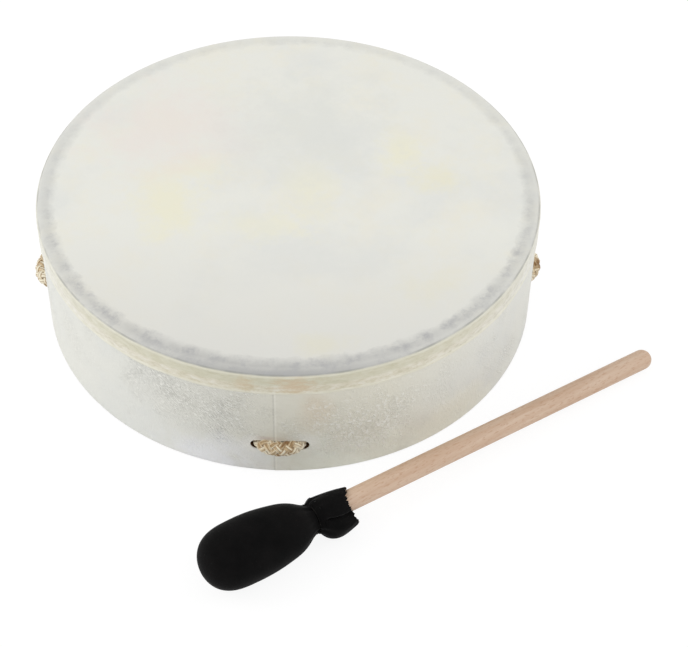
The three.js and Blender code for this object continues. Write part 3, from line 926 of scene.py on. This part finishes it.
def on_mallet(grid):
    """A grid in the mallet's own frame, put where the mallet lies."""
    return grid @ MALLET_TURN.T + MALLET_SHIFT


def along_mallet(radius, distance, angles):
    """Points round the mallet's axis from their radii, distances from the tip, and angles."""
    return np.stack([distance, radius * np.cos(angles), radius * np.sin(angles)], axis=-1)


def make_handle():
    """Dowel with a round end; the buried end is chamfered."""
    end = round_corner((0, MALLET_LENGTH - HANDLE_RADIUS), HANDLE_RADIUS, 0, 90, 16)
    straight = np.linspace(HANDLE_SEAT + 1, MALLET_LENGTH - HANDLE_RADIUS, 40)[:-1]
    body = np.c_[np.full(straight.size, HANDLE_RADIUS), straight]
    profile = np.vstack([[0, HANDLE_SEAT], [HANDLE_RADIUS - 1, HANDLE_SEAT], body, end])
    angles = circle(96)
    grid = on_mallet(along_mallet(*carried_round(profile, angles), angles))
    beech = beech_material()
    make_piece("beech_handle", [(grid, True, (1, 1))], "mallet", "mallet_handle", beech)


def cover_profile():
    """The bag as [radius, distance]: the head, a fold into the neck, a fold out of it, the loose end."""
    fold_start = 75.5
    head = head_line(46, 60)
    head = head[head[:, 1] < fold_start]
    into_neck = [[11.4, 77.0], [10.6, 78.7], [10.1, 80.0], [9.9, 81.0], [9.8, 81.5], [9.6, 81.3]]
    into_neck += [[9.3, 81.0]]
    neck = np.c_[np.full(8, NECK_RADIUS), np.linspace(HEAD_LENGTH, NECK_END, 8)]
    out_of_neck = [[9.9, 85.6], [9.9, 84.0], [10.0, 83.0], [10.3, 82.6]]
    out_of_neck += [[10.9, 82.9], [11.5, 83.7], [12.0, 84.9], [12.3, 86.3]]
    share = np.append(np.linspace(0.08, 1, 46) ** 1.3, 1)
    skirt = np.c_[np.full(share.size, NECK_RADIUS), NECK_END + SKIRT * share]
    return np.vstack([head, into_neck, neck, out_of_neck, skirt])


def gathered(radius, distance, angles):
    """Radius with the pleats that the tie draws in, a billow behind them and a full shoulder.

    Pleats are sine waves and a ripple that grow towards the neck, the shoulder is a bell curve.
    """
    to_neck = np.clip(1 - (HEAD_LENGTH - distance) / SHOULDER_PLEATS, 0, 1) ** 2.2
    past_neck = np.clip(1 - (distance - NECK_END) / SKIRT_PLEATS, 0, 1) ** 1.5
    strength = np.where(distance < NECK_END, to_neck, past_neck)
    pleats = 0.55 * np.sin(11 * angles + 0.8 * np.sin(3 * angles)) + 0.45 * ripple(angles, 5, (6, 24))
    narrow = radius < NECK_RADIUS + 0.01
    in_neck = narrow & (distance > HEAD_LENGTH - 0.1) & (distance < NECK_END + 0.1)
    on_skirt = narrow & (distance > NECK_END + 0.2)
    billow = BILLOW * (1 - np.clip((distance - NECK_END) / BILLOW_REACH, 0, 1) ** 2.5) * on_skirt
    shoulder = 0.7 * np.exp(-(((distance - 68) / 9) ** 2))
    return radius + np.where(in_neck, 0, 0.45 * strength * pleats + billow + shoulder)


def loosened(radius, distance, angles):
    """Radii and distances with the loose end opened.

    Its radius rises fast on the slack side, as a cosine. Between that lobe and the flat side, which hugs
    the handle, runs a crease. The open end is ragged and is shorter on two of its sides.
    """
    run = np.clip((distance - NECK_END) / SKIRT, 0, 1)
    from_crease = angles - CREASE_ANGLE - CREASE_TURN * run
    beyond = 1 / (1 + np.exp(-from_crease / math.radians(7)))
    flat_side = (from_crease < 0) & (angles > math.radians(20))
    slack = (SKIRT_SLACK - 1.2 * run) * (1 + np.cos(angles - SKIRT_SLACK_ANGLE)) / 2
    slack *= np.where(flat_side, 0.25 + 0.75 * beyond, 1) * (1 + 0.06 * ripple(angles, 11, (2, 9)))
    radius = radius + (1 - (1 - run) ** 5) * slack
    notch = CREASE_DEPTH * np.exp(-((from_crease / math.radians(9)) ** 2)) * np.clip(run * 6, 0, 1)
    radius -= np.minimum(notch, radius - NECK_RADIUS - 0.1).clip(0)
    short_side = np.cos(angles - SHORT_SIDE_ANGLE).clip(0)
    slack_side = np.cos(angles - SKIRT_SLACK_ANGLE).clip(0)
    ragged = 1.9 + 0.55 * ripple(angles, 17, (9, 90), 0.35)
    distance = distance + run**2 * (ragged - 2.3 * slack_side - 6.5 * short_side**1.5)
    return radius + run**4 * 0.25 * ripple(angles, 19, (9, 60), 0.4), distance


def make_cover():
    """Bag of suede: the head's blunt egg, gathered at the neck, and a loose end beyond the tie.

    It is dented all over by a ripple times a sine, and the rim of the open end is marked as raw.
    """
    angles = circle(220)
    radius, distance = carried_round(cover_profile(), angles)
    radius, distance = loosened(gathered(radius, distance, angles), distance, angles)
    dents = 0.25 * ripple(angles, 23, (2, 6)) * np.sin(distance / 13) * np.clip(radius / 18, 0, 1) ** 3
    radius = np.where(distance < 0.05, 0, radius + dents)
    grid = along_mallet(radius, distance, angles)
    grid[..., 1] += HEAD_ASIDE * np.clip((HEAD_LENGTH - distance) / 40, 0, 1)
    rim = np.zeros(radius.shape)
    rim[-1] = 1
    grids, marks, suede = [(on_mallet(grid), True, (1, 1))], {"raw_edge": rim}, suede_material()
    cover = make_piece("suede_cover", grids, "mallet", "mallet_cover", suede, 60, marks)
    thickness = cover.modifiers.new("thickness", "SOLIDIFY")
    thickness.thickness = SUEDE * MM
    thickness.offset = -1


def make_tie():
    """Two turns of waxed thread round the neck: a spiral that runs on straight at its two ends.
    Its near-black colour is painted shade of the suede's folds that hide it.
    """
    radius = NECK_RADIUS + 0.1 + TIE / 2
    t = np.linspace(0, 2 * np.pi * TIE_TURNS, 200)
    distance = HEAD_LENGTH + TIE + TIE_PITCH * t / (2 * np.pi)
    loops = along_mallet(radius, distance, t + TIE_START)
    first, last = 2 * loops[0] - loops[8], 2 * loops[-1] - loops[-9]
    path, along = evenly(on_mallet(np.vstack([first, loops, last])), 0.35)
    cord = twisted(path, turning_frames(path), along, TIE / 2, 4.0)
    # Near-black thread: painted shade of the folds over the neck
    thread = rope_material("thread_in_painted_shade", "#0c0b0b", "#121111", "#353330", sheen=0)
    make_piece("neck_tie", cord, "mallet", "mallet_tie", thread, sharp=180)


make_drumhead()
make_shell()
make_wrap()
make_hoop()
hemp = rope_material("plaited_hemp", "#8c6a45", "#d0b892", "#f5edd6")
make_rope("plaited_rope_front_back", math.pi / 2, -CROSS_RISE, 0, "rope_front_back", hemp)
make_rope("plaited_rope_left_right", 0, CROSS_RISE, LEFT_BEND, "rope_left_right", hemp)
jute = rope_material("laid_jute", "#7d5d3d", "#b18f66", "#d8c39c")
make_lashing("inner_lashing", math.pi / 4, INNER_LASHING, "hub_lashing_inner", jute)
make_lashing("outer_lashing", -math.pi / 4, OUTER_LASHING, "hub_lashing_outer", jute)
make_handle()
make_cover()
make_tie()
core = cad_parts["mallet_core"]
core.data.materials.clear()
core.data.materials.append(foam_material())


# Floor, world and lamps

def seen_directly(tree):
    """1 for rays of the camera, off a glossy surface or through a clear one, and 0 for all others."""
    rays = node(tree, "LightPath").node.outputs
    seen = rays["Is Camera Ray"]
    for ray in ("Is Glossy Ray", "Is Transmission Ray"):
        seen = node(tree, "Math", (seen, rays[ray]), operation="MAXIMUM")
    return seen


def make_floor():
    """White sheet under the object, nearly white to the camera by itself, with a soft shadow."""
    size = 3.0
    mesh = bpy.data.meshes.new("floor")
    corners = [(-size, -size), (size, -size), (size, size), (-size, size)]
    mesh.from_pydata([(x, y, TABLE * MM) for x, y in corners], [], [(0, 1, 2, 3)])
    made = bpy.data.materials.new("white_sheet")
    made.use_nodes = True
    tree = made.node_tree
    tree.nodes.clear()
    matte = node(tree, "BsdfDiffuse", {"Color": "#fafafa"})
    shown = node(tree, "BsdfDiffuse", {"Color": "#6f6f6f"})
    glow = node(tree, "Emission", {"Strength": 0.88})
    lit = node(tree, "AddShader", (shown, glow))
    mixed = node(tree, "MixShader", (seen_directly(tree), matte, lit))
    output = tree.nodes.new("ShaderNodeOutputMaterial")
    tree.links.new(mixed, output.inputs["Surface"])
    mesh.materials.append(made)
    put("floor", mesh)


def make_world():
    """Even light from all round, and plain white wherever the camera sees past the floor."""
    world = bpy.data.worlds.new("studio")
    world.use_nodes = True
    tree = world.node_tree
    tree.nodes.clear()
    strength = node(tree, "MapRange", (seen_directly(tree), 0, 1, 0.71, 1))
    light = node(tree, "Background", {"Color": "#ffffff", "Strength": strength})
    output = tree.nodes.new("ShaderNodeOutputWorld")
    tree.links.new(light, output.inputs["Surface"])
    bpy.context.scene.world = world


def make_lamp(name, place, power):
    """Soft box aimed at the drum."""
    data = bpy.data.lights.new(name, "AREA")
    data.shape = "SQUARE"
    data.size = 1.4  # metres
    data.energy = power
    lamp = put(name, data)
    lamp.location = place
    lamp.rotation_euler = (Vector((0, 0, -0.05)) - Vector(place)).to_track_quat("-Z", "Y").to_euler()


make_floor()
make_world()
make_lamp("left_softbox", (-1.9, -0.1, 1.3), 16)
make_lamp("right_softbox", (1.9, 0.1, 1.2), 10)
make_lamp("front_softbox", (0.2, -2.3, 0.35), 3.5)
bpy.context.scene.view_settings.view_transform = "Standard"

bpy.context.view_layer.update()
